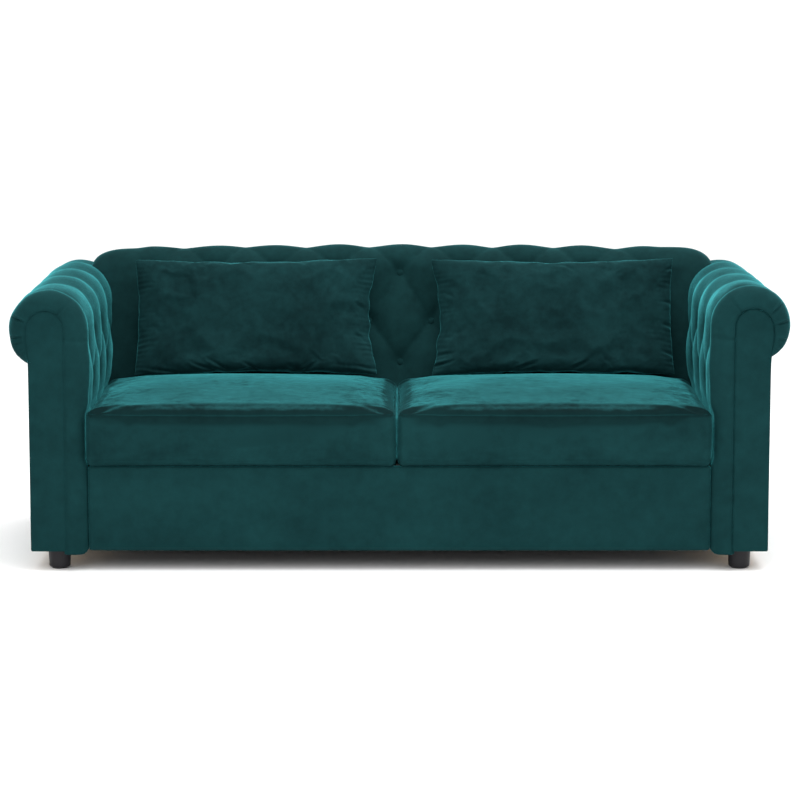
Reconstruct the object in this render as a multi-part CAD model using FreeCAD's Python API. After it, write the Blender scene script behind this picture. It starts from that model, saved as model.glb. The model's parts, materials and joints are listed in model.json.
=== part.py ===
"""Rolled-arm sofa with a three-section bed folded in its base. Millimetres, +Z up, the front faces -Y.

The origin is on the floor, under the middle of the sofa. Left is -X and right is +X.
The bed is stored as three layers: head section at the bottom, middle section upside down on it, and foot section
on top. Parallel links lift the head section while the middle section turns over the front.
"""
import FreeCAD, Part
import math
import os

from FreeCAD import Vector

# --- driving dimensions -------------------------------------------------------------------------
FRONT, REAR = -460.0, 460.0            # front and rear of the arms
ARM_IN, ARM_OUT = 872.0, 1032.0        # inner and outer face of an arm
ROLL_R = 106.5                         # radius of the rolled arm top
ROLL_X, ROLL_Z = 978.5, 686.0          # centre of the roll
BASE_Z = 56.0                          # underside of the arms, on the legs
LEG_X, LEG_Y = 958.0, 395.0            # centres of the four sofa legs
WALL = 35.0                            # padding over the arm's timber core
CORE_TOP = 700.0                       # top of the arm's timber core
FACING_IN = 932.0                      # inner edge of the arched facing on the arm's front
FACING_R = (ARM_OUT - FACING_IN) / 2
FACING_TOP = 735.0
PANEL_REAR = -416.0                    # rear of the front panel
WELL_TOP = 294.0                       # top of the front panel and of the folded bed
BACK_FACE_Y, BACK_LOW_Z = 198.0, 420.0  # lower front edge of the back pad
BACK_ROLL_Y, BACK_ROLL_Z, BACK_ROLL_R = 380.0, 763.0, 80.0
BACK_HALF = 943.0                      # half width of the back over the arms
TUFT = 188.0                           # spacing of the tufting buttons along the back

CUSHION_FRONT, CUSHION_REAR = -460.0, 185.0
CUSHION_LOW, CUSHION_HIGH = 295.0, 466.0

# --- folding bed --------------------------------------------------------------------------------
TUBE, TUBE_WALL = 22.0, 1.5            # square frame tube
MATTRESS = 54.0                        # thickness of the foam mattress
GAP = 1.0                              # between folded layers, and half of it each side of a hinge line
FRAME_X = 812.0                        # outer face of the bed frame's side tubes
MATTRESS_X = 785.0
BED_Z = 62.0                           # underside of the folded bed
HEAD_REAR = 412.0                      # rear end of the head section
FOLD1_Y, FOLD1_Z = -355.0, BED_Z + TUBE + MATTRESS + GAP            # head to middle hinge line
FOLD2_Y, FOLD2_Z = 185.0, FOLD1_Z + MATTRESS + TUBE + 2 * GAP       # middle to foot hinge line
FOOT_FRONT = -397.0                    # front end of the stored foot section
END_GAP = 12.0                         # from a hinge line to the end tube beside it
HEAD_END_GAP = 20.0                    # the same on the head section, which passes close over the front panel
EAR_X = (790.0, 797.0)                 # inner faces of the two plates of a fold hinge
EAR_T, EAR_R, FOLD_PIN_R = 5.0, 9.0, 4.0
RUNNING = 0.08                         # radial clearance of a pin in its hole

LINK_L = 210.0
LINK_START, LINK_END = -18.0, 78.0     # angle of a lift link when stored and when open, in degrees
LINK_X, LINK_T, LINK_W = 850.0, 6.0, 26.0
LINK_PIN_R = 6.0
LINK_Y = (-150.0, 260.0)               # head section pivots of the front and rear links
PIVOT_Z = BED_Z + TUBE / 2
RISE = LINK_L * (math.sin(math.radians(LINK_END)) - math.sin(math.radians(LINK_START)))

LEG_L = PIVOT_Z + RISE                 # pivot to floor of a folding bed leg
LEG_T, LEG_W, LEG_PIN_R = 14.0, 18.0, 4.0
FOOT_LEG_X, MID_LEG_X = 815.0, 832.0   # inner faces of the two pairs of folding legs
MID_LEG_Y, FOOT_LEG_Y = FOLD2_Y - 30.0, FOOT_FRONT + 16.0

parts = {}


# --- helpers ------------------------------------------------------------------------------------
def box(x0, x1, y0, y1, z0, z1):
    return Part.makeBox(x1 - x0, y1 - y0, z1 - z0, Vector(x0, y0, z0))


def rod_x(radius, x0, x1, y, z):
    return Part.makeCylinder(radius, x1 - x0, Vector(x0, y, z), Vector(1, 0, 0))


def rod_z(radius, x, y, z0, z1):
    return Part.makeCylinder(radius, z1 - z0, Vector(x, y, z0), Vector(0, 0, 1))


def mirrored(shape):
    return shape.mirror(Vector(0, 0, 0), Vector(1, 0, 0))


def both(shapes):
    return shapes + [mirrored(s) for s in shapes]


def face_of(edges):
    return Part.Face(Part.Wire(edges))


def line(a, b):
    return Part.LineSegment(a, b).toShape()


def polygon(points):
    return Part.Face(Part.makePolygon(points + [points[0]]))


def add(name, shapes):
    parts[name] = shapes if isinstance(shapes, list) else [shapes]


def add_pair(name, shapes):
    """The same piece on the right (+X) and, mirrored, on the left (-X)."""
    shapes = shapes if isinstance(shapes, list) else [shapes]
    add(name + "_right", shapes)
    add(name + "_left", [mirrored(s) for s in shapes])


def hollow_x(x0, x1, y, z):
    """A square tube along X, with its lower front corner at y, z."""
    w = TUBE_WALL
    return box(x0, x1, y, y + TUBE, z, z + TUBE).cut(box(x0, x1, y + w, y + TUBE - w, z + w, z + TUBE - w))


def hollow_y(x, y0, y1, z):
    w = TUBE_WALL
    return box(x, x + TUBE, y0, y1, z, z + TUBE).cut(box(x + w, x + TUBE - w, y0, y1, z + w, z + TUBE - w))


# --- arms ---------------------------------------------------------------------------------------
def arm_outline(grow=0.0):
    """Closed outline of an arm in the XZ plane: straight inner face, round roll, and straight outer face."""
    r = ROLL_R + grow
    inner, outer = ARM_IN - grow, ARM_OUT + grow
    under = ROLL_Z - math.sqrt(r * r - (outer - ROLL_X) ** 2)
    low = BASE_Z - grow
    p = [Vector(inner, 0, low), Vector(inner, 0, ROLL_Z), Vector(outer, 0, under), Vector(outer, 0, low)]
    top, side = Vector(ROLL_X, 0, ROLL_Z + r), Vector(ROLL_X + r, 0, ROLL_Z)
    return face_of([line(p[0], p[1]), Part.Arc(p[1], top, side).toShape(),
                    Part.Arc(side, Vector(ROLL_X + r * math.cos(0.4), 0, ROLL_Z - r * math.sin(0.4)), p[2]).toShape(),
                    line(p[2], p[3]), line(p[3], p[0])])


def extrude_y(face, y0, y1):
    return face.translated(Vector(0, y0, 0)).extrude(Vector(0, y1 - y0, 0))


def facing_solid(grow, y0, y1):
    """Arched panel: straight sides and a half-round top."""
    x0, x1, r = FACING_IN - grow, ARM_OUT + grow, FACING_R + grow
    spring, low = FACING_TOP - FACING_R, BASE_Z - grow
    crown = Vector((x0 + x1) / 2, 0, spring + r)
    face = face_of([line(Vector(x0, 0, low), Vector(x0, 0, spring)),
                    Part.Arc(Vector(x0, 0, spring), crown, Vector(x1, 0, spring)).toShape(),
                    line(Vector(x1, 0, spring), Vector(x1, 0, low)), line(Vector(x1, 0, low), Vector(x0, 0, low))])
    return extrude_y(face, y0, y1)


def make_arms():
    core_in, core_out, core_y = ARM_IN + WALL, ARM_OUT - 15, 441.0
    facing_back = FRONT + 20
    board = 18.0
    base_top = 290.0
    under_roll = ROLL_Z - math.sqrt(ROLL_R ** 2 - (ARM_OUT - ROLL_X) ** 2)
    pad = extrude_y(arm_outline(), FRONT, REAR)
    pad = pad.cut(box(core_in, core_out, -core_y, core_y, 0, CORE_TOP + 1))
    pad = pad.cut(box(core_out - 1, ARM_OUT + 1, FRONT - 1, REAR + 1, 0, under_roll))
    pad = pad.cut(box(ARM_IN - 1, core_in + 1, PANEL_REAR + 1, core_y, 0, base_top + 1))
    pad = pad.cut(facing_solid(0.5, FRONT - 1, facing_back + 1))
    add_pair("arm_pad", pad)
    add_pair("arm_facing", facing_solid(0.0, FRONT + 2, facing_back))
    add("arm_outer_panels", both([box(core_out, ARM_OUT, facing_back + 1.5, REAR, BASE_Z, under_roll - 0.5)]))
    add("arm_base_boards", both([box(ARM_IN, ARM_IN + board, PANEL_REAR + 2, 440, 60, base_top)]))
    post, rail = 28.0, 45.0
    x0, x1 = core_in + 0.5, core_out - 0.5
    stud_hole = 4.0
    bottom = box(x0, x1, -412, 412, 57, 57 + rail)
    for y in (-LEG_Y, LEG_Y):
        bottom = bottom.cut(rod_z(stud_hole, LEG_X, y, 50, 82))
    frame = [box(x0, x1, -440, -440 + post, 57, CORE_TOP), box(x0, x1, 440 - post, 440, 57, CORE_TOP), bottom,
             box(x0, x1, -412, 412, CORE_TOP - rail, CORE_TOP), box(x0, x1, -412, 412, 300, 340),
             box(x0, x1, -post / 2, post / 2, 340, CORE_TOP - rail), box(x0, x1, -post / 2, post / 2, 102, 300)]
    add_pair("arm_frame", frame)
    buttons = []
    for n in range(6):
        z = 530.0 if n % 2 else 650.0
        buttons.append(rod_x(10.0, ARM_IN - 3.5, ARM_IN, -350 + n * TUFT / 2, z))
    add("arm_buttons", both(buttons))


def make_legs():
    round_edge = 6.0
    for side, sx in (("right", 1), ("left", -1)):
        for place, y in (("front", -LEG_Y), ("rear", LEG_Y)):
            cone = Part.makeCone(29.5, 32.0, 53, Vector(sx * LEG_X, y, 3), Vector(0, 0, 1))
            bottom = [e for e in cone.Edges if max(v.Z for v in e.Vertexes) < 4]
            cone = cone.makeFillet(round_edge, bottom).cut(rod_z(4.0, sx * LEG_X, y, 38, 57))
            add(f"sofa_leg_{place}_{side}", cone)
    spots = [(sx * LEG_X, y) for sx in (1, -1) for y in (-LEG_Y, LEG_Y)]
    add("sofa_leg_glides", [rod_z(22.0, x, y, 0, 3) for x, y in spots])
    add("sofa_leg_studs", [rod_z(4.0, x, y, 38, 82) for x, y in spots])


# --- back ---------------------------------------------------------------------------------------
def back_tangent():
    """Where the straight front of the back pad meets its rolled top, and the face's angle above horizontal."""
    dy, dz = BACK_ROLL_Y - BACK_FACE_Y, BACK_ROLL_Z - BACK_LOW_Z
    d = math.hypot(dy, dz)
    angle = math.atan2(dz, dy) + math.asin(BACK_ROLL_R / d)
    run = math.sqrt(d * d - BACK_ROLL_R ** 2)
    return BACK_FACE_Y + run * math.cos(angle), BACK_LOW_Z + run * math.sin(angle), angle


def make_back():
    ty, tz, angle = back_tangent()
    rear = 448.0
    low = math.radians(-30)
    end = Vector(0, BACK_ROLL_Y + BACK_ROLL_R * math.cos(low), BACK_ROLL_Z + BACK_ROLL_R * math.sin(low))
    pts = [Vector(0, BACK_FACE_Y, BACK_LOW_Z), Vector(0, ty, tz), Vector(0, 398, 726), Vector(0, 302, BACK_LOW_Z)]
    crown = Vector(0, BACK_ROLL_Y, BACK_ROLL_Z + BACK_ROLL_R)
    profile = face_of([line(pts[0], pts[1]), Part.Arc(pts[1], crown, end).toShape(), line(end, pts[2]),
                       line(pts[2], pts[3]), line(pts[3], pts[0])])
    pad = profile.translated(Vector(-BACK_HALF, 0, 0)).extrude(Vector(2 * BACK_HALF, 0, 0))
    arm = extrude_y(arm_outline(0.8), FRONT - 5, REAR + 5)
    outside = box(ARM_OUT - 80, ARM_OUT + 80, FRONT, REAR + 5, 0, ROLL_Z + 20)
    for cutter in (arm, outside):
        pad = pad.cut(cutter).cut(mirrored(cutter))
    shoulder = 62.0
    crown_z = BACK_ROLL_Z + BACK_ROLL_R
    corner = box(BACK_HALF - shoulder, BACK_HALF + 5, 0, REAR + 5, crown_z - shoulder, crown_z + 5)
    corner = corner.cut(Part.makeCylinder(shoulder, REAR + 10, Vector(BACK_HALF - shoulder, -1, crown_z - shoulder),
                                          Vector(0, 1, 0)))
    pad = pad.cut(corner).cut(mirrored(corner))
    add("back_pad", pad)
    add("back_frame", [box(-868, 868, 400, rear, 690, 720), box(-868, 868, 322, 346, 432, 476)]
        + [box(x - 20, x + 20, 424, rear, 150, 690) for x in (-846, -282, 282, 846)]
        + [box(x - 14, x + 14, 346, 424, 440, 468) for x in (-846, -282, 282, 846)])
    add("rear_rail", box(-868, 868, 424, rear, 60, 150))
    add("back_outer_panel", box(-868, 868, rear + 1, REAR - 4, 60, 718))
    webbing = []
    for n in range(-4, 5):
        x = n * TUFT - 25
        strap = [Vector(x, 323, 476), Vector(x, 326, 476), Vector(x, 404, 690), Vector(x, 401, 690)]
        webbing.append(polygon(strap).extrude(Vector(50, 0, 0)))
    add("back_webbing", webbing)
    normal = Vector(0, -math.sin(angle), math.cos(angle))
    buttons = []
    for row, z in enumerate((773.0, 631.0, 511.0)):
        y = BACK_FACE_Y + (z - BACK_LOW_Z) / math.tan(angle)
        count = 9 if row % 2 == 0 else 8
        for n in range(count):
            x = (n - (count - 1) / 2) * TUFT
            buttons.append(Part.makeCylinder(10.0, 4.0, Vector(x, y, z), normal))
    add("back_buttons", buttons)


# --- base ---------------------------------------------------------------------------------------
def make_base():
    add("front_board", box(-869, 869, -434, -417, 64, 288))
    cover = box(-869, 869, -446, PANEL_REAR, BASE_Z, WELL_TOP).cut(box(-870, 870, -435, PANEL_REAR + 1, 0, 289))
    add("front_panel_cover", cover)
    add("dust_cover", box(-868, 868, -414, 422, 57, 59))
    add("mechanism_rails", both([box(866, 872, -408, 130, 66, 150)]))
    bolts = []
    for y in (-300.0, -170.0, -40.0, 100.0):
        bolts.append(rod_x(7.0, 862, 866, y, 90))
    add("rail_bolts", both(bolts))
    rise = LINK_L * math.sin(math.radians(-LINK_START))
    run = LINK_L * math.cos(math.radians(LINK_START))
    pins = [rod_x(LINK_PIN_R, LINK_X - 2, 866, y - run, PIVOT_Z + rise) for y in LINK_Y]
    add("link_pivot_pins", both(pins))


def lift_link(y):
    """A flat link from its fixed pivot, in front, to the head section's pivot at y."""
    a = math.radians(LINK_START)
    fixed = (y - LINK_L * math.cos(a), PIVOT_Z - LINK_L * math.sin(a))
    r = LINK_W / 2
    bar = box(LINK_X, LINK_X + LINK_T, 0, LINK_L, -r, r)
    for end in (0.0, LINK_L):
        bar = bar.fuse(rod_x(r, LINK_X, LINK_X + LINK_T, end, 0))
    bar = bar.removeSplitter()
    for end in (0.0, LINK_L):
        bar = bar.cut(rod_x(LINK_PIN_R + RUNNING, LINK_X - 1, LINK_X + LINK_T + 1, end, 0))
    bar.rotate(Vector(0, 0, 0), Vector(1, 0, 0), LINK_START)
    return bar.translated(Vector(0, fixed[0], fixed[1]))


# --- bed sections -------------------------------------------------------------------------------
def section_frame(y0, y1, z, crossbars):
    """Rectangle of square tube with its underside at z, with crossbars shared evenly between its ends."""
    tubes = both([hollow_y(FRAME_X - TUBE, y0, y1, z)])
    inner = FRAME_X - TUBE
    tubes += [hollow_x(-inner, inner, y0, z), hollow_x(-inner, inner, y1 - TUBE, z)]
    for n in range(1, crossbars + 1):
        y = y0 + n * (y1 - y0) / (crossbars + 1) - TUBE / 2
        tubes.append(hollow_x(-inner, inner, y, z))
    return tubes


def slats(y0, y1, z, count, thick=7.0, wide=52.0):
    """Slats along the bed, from end tube to end tube, level with one side of the tubes."""
    made = []
    inner = FRAME_X - TUBE
    for n in range(count):
        x = -inner + (n + 0.5) * 2 * inner / count
        made.append(box(x - wide / 2, x + wide / 2, y0, y1, z, z + thick))
    return made


def mattress(y0, y1, z):
    body = box(-MATTRESS_X, MATTRESS_X, y0, y1, z, z + MATTRESS)
    edges = [e for e in body.Edges if abs(e.Vertexes[0].Z - e.Vertexes[1].Z) > 1]
    return body.makeFillet(30.0, edges)


def fold_plate(x0, y, z, toward_y, low, high):
    """Plate of a fold hinge: a bar from the frame at low or high to a round eye on the hinge line."""
    body = box(x0, x0 + EAR_T, min(y, y + toward_y), max(y, y + toward_y), low, high)
    return body.fuse(rod_x(EAR_R, x0, x0 + EAR_T, y, z)).removeSplitter()


def make_bed():
    w = GAP
    slat_t = 7.0
    head_end = FOLD1_Y + HEAD_END_GAP
    # head section: frame at the bottom, mattress on it
    z = BED_Z
    add("head_frame", section_frame(head_end, HEAD_REAR, z, 0))
    add("head_slats", slats(head_end + TUBE, HEAD_REAR - TUBE, z + TUBE - slat_t, 12))
    add("head_mattress", mattress(FOLD1_Y + w, HEAD_REAR, z + TUBE))
    # middle section, stored upside down: mattress below, frame above
    frame_z = FOLD1_Z + w + MATTRESS
    mid0, mid1 = FOLD1_Y + END_GAP, FOLD2_Y - END_GAP
    add("middle_frame", section_frame(mid0, mid1, frame_z, 0))
    add("middle_slats", slats(mid0 + TUBE, mid1 - TUBE, frame_z, 12))
    add("middle_mattress", mattress(FOLD1_Y + w, FOLD2_Y - w, frame_z - MATTRESS))
    # foot section: frame, mattress on it
    foot_z = FOLD2_Z + w
    add("foot_frame", section_frame(FOOT_FRONT, mid1, foot_z, 0))
    add("foot_slats", slats(FOOT_FRONT + TUBE, mid1 - TUBE, foot_z + TUBE - slat_t, 12))
    add("foot_mattress", mattress(FOOT_FRONT, FOLD2_Y - w, foot_z + TUBE))
    # hinge between head and middle: plates stand beside the mattress
    hole = FOLD_PIN_R + RUNNING
    lower = fold_plate(EAR_X[0], FOLD1_Y, FOLD1_Z, 44, BED_Z + TUBE, FOLD1_Z + EAR_R)
    upper = fold_plate(EAR_X[1], FOLD1_Y, FOLD1_Z, 44, FOLD1_Z - EAR_R, frame_z)
    pin1 = rod_x(FOLD_PIN_R, MATTRESS_X + 2, EAR_X[1] + EAR_T + 3, FOLD1_Y, FOLD1_Z)
    add("head_hinge_plates", both([lower.cut(pin1)]))
    add("middle_hinge_plates", both([upper.cut(rod_x(hole, EAR_X[1] - 1, EAR_X[1] + EAR_T + 1, FOLD1_Y, FOLD1_Z))]))
    add("fold_pins_front", both([pin1]))
    # hinge between middle and foot: ears stand out of the end tubes
    lower = fold_plate(EAR_X[0], FOLD2_Y, FOLD2_Z, -END_GAP, frame_z, FOLD2_Z)
    upper = fold_plate(EAR_X[1], FOLD2_Y, FOLD2_Z, -END_GAP, FOLD2_Z, foot_z + TUBE)
    pin2 = rod_x(FOLD_PIN_R, MATTRESS_X + 2, EAR_X[1] + EAR_T + 3, FOLD2_Y, FOLD2_Z)
    add("middle_ears", both([lower.cut(pin2)]))
    add("foot_ears", both([upper.cut(rod_x(hole, EAR_X[1] - 1, EAR_X[1] + EAR_T + 1, FOLD2_Y, FOLD2_Z))]))
    add("fold_pins_rear", both([pin2]))
    # pivots that carry the head section on its links
    add("carrier_pins", both([rod_x(LINK_PIN_R, FRAME_X, LINK_X + LINK_T + 2, y, PIVOT_Z) for y in LINK_Y]))
    for place, y in zip(("front", "rear"), LINK_Y):
        add_pair(f"{place}_lift_link", lift_link(y))
    # folding legs, stored along the side tubes
    mid_pin_z, foot_pin_z = frame_z + TUBE / 2, foot_z + TUBE / 2
    add_leg("middle_leg", MID_LEG_X, MID_LEG_Y, mid_pin_z, -1)
    add_leg("foot_leg", FOOT_LEG_X, FOOT_LEG_Y, foot_pin_z, 1)
    # bar for the hands on the foot section's front tube
    add("pull_bar", [box(-90, 90, FOOT_FRONT - 9, FOOT_FRONT, foot_z + 6, foot_z + 16)])


def add_leg(name, x, y, z, way):
    """A folding leg lying along Y from its pivot, with a rubber cap on its free end."""
    cap, half = 24.0, LEG_W / 2
    ends = sorted((y, y + way * (LEG_L - cap)))
    bar = box(x, x + LEG_T, ends[0], ends[1], z - half, z + half).fuse(rod_x(half, x, x + LEG_T, y, z)).removeSplitter()
    bar = bar.cut(rod_x(LEG_PIN_R + RUNNING, x - 1, x + LEG_T + 1, y, z))
    cap_ends = sorted((y + way * (LEG_L - cap), y + way * (LEG_L - 1)))
    add_pair(name, bar)
    add(name + "_caps", both([box(x, x + LEG_T, cap_ends[0], cap_ends[1], z - half, z + half)]))
    add(name + "_pins", both([rod_x(LEG_PIN_R, FRAME_X, x + LEG_T + 2, y, z)]))


# --- loose cushions -----------------------------------------------------------------------------
def make_cushions():
    seat = box(2, 867, CUSHION_FRONT, CUSHION_REAR, CUSHION_LOW, CUSHION_HIGH)
    add_pair("seat_cushion", seat.makeFillet(24.0, seat.Edges))
    ty, tz, angle = back_tangent()
    clear = 7.0
    low, high = CUSHION_HIGH + 1, 815.0

    def face_y(z):
        return BACK_FACE_Y + (z - BACK_LOW_Z) / math.tan(angle) - clear

    outline = [(100, low + 20), (118, low), (face_y(low) - 12, low), (face_y(low + 12), low + 12),
               (face_y(775), 775), (face_y(775) - 8, high), (face_y(775) - 34, high), (160, 680), (112, 570)]
    pillow = polygon([Vector(85, y, z) for y, z in outline]).extrude(Vector(720, 0, 0))
    add_pair("lumbar_pillow", pillow)


def main():
    make_arms()
    make_legs()
    make_back()
    make_base()
    make_bed()
    make_cushions()
    os.makedirs("parts", exist_ok=True)
    for name, shapes in parts.items():
        for shape in shapes:
            if not shape.isValid() or shape.Volume <= 0:
                print("invalid", name)
        shape = shapes[0] if len(shapes) == 1 else Part.makeCompound(shapes)
        shape.exportStep(f"parts/{name}.step")
    print(len(parts), "nodes")


main()
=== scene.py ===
import json
import math

import bmesh
import bpy
import numpy as np
from mathutils import Matrix, Vector


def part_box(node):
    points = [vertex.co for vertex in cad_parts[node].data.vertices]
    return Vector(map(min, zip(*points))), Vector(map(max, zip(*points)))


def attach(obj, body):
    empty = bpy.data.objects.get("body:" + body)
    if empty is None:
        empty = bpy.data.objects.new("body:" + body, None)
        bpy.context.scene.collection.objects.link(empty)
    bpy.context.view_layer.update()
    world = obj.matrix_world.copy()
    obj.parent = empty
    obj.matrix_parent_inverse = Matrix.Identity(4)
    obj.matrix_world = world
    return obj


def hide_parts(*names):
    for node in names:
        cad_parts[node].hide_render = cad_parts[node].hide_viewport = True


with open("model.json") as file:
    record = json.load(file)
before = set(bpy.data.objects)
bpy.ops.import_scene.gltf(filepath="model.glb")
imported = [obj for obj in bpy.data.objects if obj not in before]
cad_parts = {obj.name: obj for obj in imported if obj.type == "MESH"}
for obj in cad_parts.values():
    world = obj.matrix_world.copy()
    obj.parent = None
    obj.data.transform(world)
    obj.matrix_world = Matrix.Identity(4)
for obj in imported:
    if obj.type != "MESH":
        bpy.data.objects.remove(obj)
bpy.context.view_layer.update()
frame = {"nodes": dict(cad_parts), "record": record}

# --- driving sizes, in metres -------------------------------------------------------------------
ARM_LOW, ARM_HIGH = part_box("arm_pad_right")
FACING_LOW, FACING_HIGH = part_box("arm_facing_right")
BACK_LOW, BACK_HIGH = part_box("back_pad")
PANEL_LOW, PANEL_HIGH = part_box("front_panel_cover")
OUTER_LOW, OUTER_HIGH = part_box("arm_outer_panels")

TUFT = 0.188                                   # spacing of the tufting buttons
ARM_IN, ARM_OUT = ARM_LOW[0], OUTER_HIGH[0]    # inner and outer face of the right arm
ROLL_R = 0.1065                                # radius of the rolled arm top
ROLL_X, ROLL_Z = ARM_IN + ROLL_R, ARM_HIGH[2] - ROLL_R
ROLL_END = -math.acos((ARM_OUT - ROLL_X) / ROLL_R)          # where the roll meets the outer panel
ARM_FIRST_PLEAT = -0.350                       # y of the front pleat over an arm
ARM_ROWS = (0.530, 0.650)                      # heights of the two rows of buttons on an arm
ARM_BORDER = 0.036                             # how far the padded border stands out of the arm's sweep
ARM_SLANT = 0.070                              # how far forward a pleat leans towards the roll's top
ARM_TURN = 0.014                               # radius of the turn from an arm's sweep into its flat rear

BACK_ROLL_Y, BACK_ROLL_Z, BACK_ROLL_R = 0.380, 0.763, 0.080
BACK_ROWS_Z = (0.511, 0.631, 0.773)            # heights of the rows of buttons on the back's face
BACK_KEEL_Y = 0.302                            # rear edge of the back pad's flat underside
BACK_BUTTONS_OUT = 0.80                        # no button stands further out than this


# --- mesh helpers -------------------------------------------------------------------------------
def mesh_object(name, verts, faces, smooth=True):
    mesh = bpy.data.meshes.new(name)
    mesh.from_pydata([tuple(v) for v in verts], [], faces)
    mesh.polygons.foreach_set("use_smooth", [smooth] * len(mesh.polygons))
    mesh.update()
    obj = bpy.data.objects.new(name, mesh)
    bpy.context.scene.collection.objects.link(obj)
    return obj


def grid_faces(rows, cols, start=0, close_cols=False):
    """Quads of a rows x cols grid of points, whose columns may close on themselves."""
    faces = []
    for r in range(rows - 1):
        here, above = start + r * cols, start + (r + 1) * cols
        for c in range(cols if close_cols else cols - 1):
            n = (c + 1) % cols
            faces.append([here + c, here + n, above + n, above + c])
    return faces


def outward(obj):
    """Joins points that coincide, and turns every face outwards."""
    bm = bmesh.new()
    bm.from_mesh(obj.data)
    bmesh.ops.remove_doubles(bm, verts=bm.verts, dist=1e-5)
    bmesh.ops.recalc_face_normals(bm, faces=bm.faces)
    bm.to_mesh(obj.data)
    bm.free()
    obj.data.polygons.foreach_set("use_smooth", [True] * len(obj.data.polygons))
    return obj


def coords(obj):
    flat = np.empty(len(obj.data.vertices) * 3)
    obj.data.vertices.foreach_get("co", flat)
    return flat.reshape(-1, 3)


def set_coords(obj, points):
    obj.data.vertices.foreach_set("co", np.asarray(points).ravel())
    obj.data.update()


def reflect(obj):
    """Moves a right-hand piece to the left."""
    obj.data.transform(Matrix.Scale(-1, 4, Vector((1, 0, 0))))
    obj.data.flip_normals()
    return obj


def mirrored(obj, name):
    """A copy of a right-hand piece on the left."""
    twin = obj.copy()
    twin.data = obj.data.copy()
    twin.name = name
    bpy.context.scene.collection.objects.link(twin)
    return reflect(twin)


def apply_modifiers(obj):
    graph = bpy.context.evaluated_depsgraph_get()
    mesh = bpy.data.meshes.new_from_object(obj.evaluated_get(graph))
    obj.modifiers.clear()
    old, obj.data = obj.data, mesh
    bpy.data.meshes.remove(old)


def subdivided(obj):
    mod = obj.modifiers.new("subdivision", "SUBSURF")
    mod.levels = mod.render_levels = 1
    apply_modifiers(obj)
    return obj


def smoothstep(x, low, high):
    t = np.clip((x - low) / (high - low), 0.0, 1.0)
    return t * t * (3 - 2 * t)


def bell(distance, width):
    """1 at no distance, falling off smoothly to both sides."""
    return np.exp(-(distance / width) ** 2)


def ripple(x, y, scale, seed):
    """Smooth wandering value, about -1 to 1, that repeats nowhere on the sofa."""
    value = 0.0
    for n in range(4):
        a, b = math.sin(seed + 1.7 * n), math.cos(seed * 1.3 + 2.1 * n)
        value = value + np.sin((x * a + y * b) * (1 + 0.61 * n) / scale + seed * (n + 1))
    return value / 2.6


def finish_piece(obj, body, material, nodes=()):
    """Gives a piece its material and body, and hides the nodes it stands for."""
    obj.data.materials.clear()
    obj.data.materials.append(material)
    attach(obj, body)
    if nodes:
        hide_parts(*nodes)
    return obj


# --- materials ----------------------------------------------------------------------------------
class Nodes:
    """A material's node tree, with short calls for adding and joining nodes."""

    def __init__(self, name):
        self.material = bpy.data.materials.new(name)
        self.material.use_nodes = True
        self.tree = self.material.node_tree
        self.shader = self.tree.nodes["Principled BSDF"]
        self.place = self.tree.nodes.new("ShaderNodeTexCoord").outputs["Object"]

    def add(self, kind, **values):
        node = self.tree.nodes.new(kind)
        for key, value in values.items():
            if hasattr(node, key):
                setattr(node, key, value)
            else:
                node.inputs[key.replace("_", " ")].default_value = value
        return node

    def link(self, output, target):
        self.tree.links.new(output, target)

    def noise(self, scale, detail=2.0, stretch=None, roughness=0.5):
        node = self.add("ShaderNodeTexNoise", Scale=scale, Detail=detail, Roughness=roughness)
        place = self.place
        if stretch:
            mapping = self.add("ShaderNodeMapping", Scale=stretch)
            self.link(place, mapping.inputs["Vector"])
            place = mapping.outputs["Vector"]
        self.link(place, node.inputs["Vector"])
        return node.outputs["Fac"]

    def ramp(self, value, stops):
        node = self.add("ShaderNodeValToRGB")
        self.link(value, node.inputs["Fac"])
        elements = node.color_ramp.elements
        while len(elements) < len(stops):
            elements.new(0.5)
        for element, (position, color) in zip(elements, stops):
            element.position = position
            element.color = color if len(color) == 4 else (*color, 1.0)
        return node.outputs["Color"]

    def math(self, operation, a, b):
        node = self.add("ShaderNodeMath", operation=operation)
        for socket, value in zip(node.inputs, (a, b)):
            if isinstance(value, (int, float)):
                socket.default_value = value
            else:
                self.link(value, socket)
        return node.outputs["Value"]

    def mix(self, factor, a, b, blend="MIX"):
        node = self.add("ShaderNodeMix", data_type="RGBA", blend_type=blend)
        for socket, value in ((node.inputs["Factor"], factor), (node.inputs["A"], a), (node.inputs["B"], b)):
            sockets = [s for s in node.inputs if s.name == socket.name and s.enabled]
            target = sockets[0] if sockets else socket
            if isinstance(value, (int, float)):
                target.default_value = value
            elif isinstance(value, tuple):
                target.default_value = (*value, 1.0)
            else:
                self.link(value, target)
        return [s for s in node.outputs if s.enabled][0]

    def bump(self, height, strength, distance, normal=None):
        node = self.add("ShaderNodeBump", Strength=strength, Distance=distance)
        self.link(height, node.inputs["Height"])
        if normal is not None:
            self.link(normal, node.inputs["Normal"])
        return node.outputs["Normal"]

    def colour(self, output):
        self.link(output, self.shader.inputs["Base Color"])

    def rough(self, value):
        if isinstance(value, (int, float)):
            self.shader.inputs["Roughness"].default_value = value
        else:
            self.link(value, self.shader.inputs["Roughness"])

    def normal(self, output):
        self.link(output, self.shader.inputs["Normal"])


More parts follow.
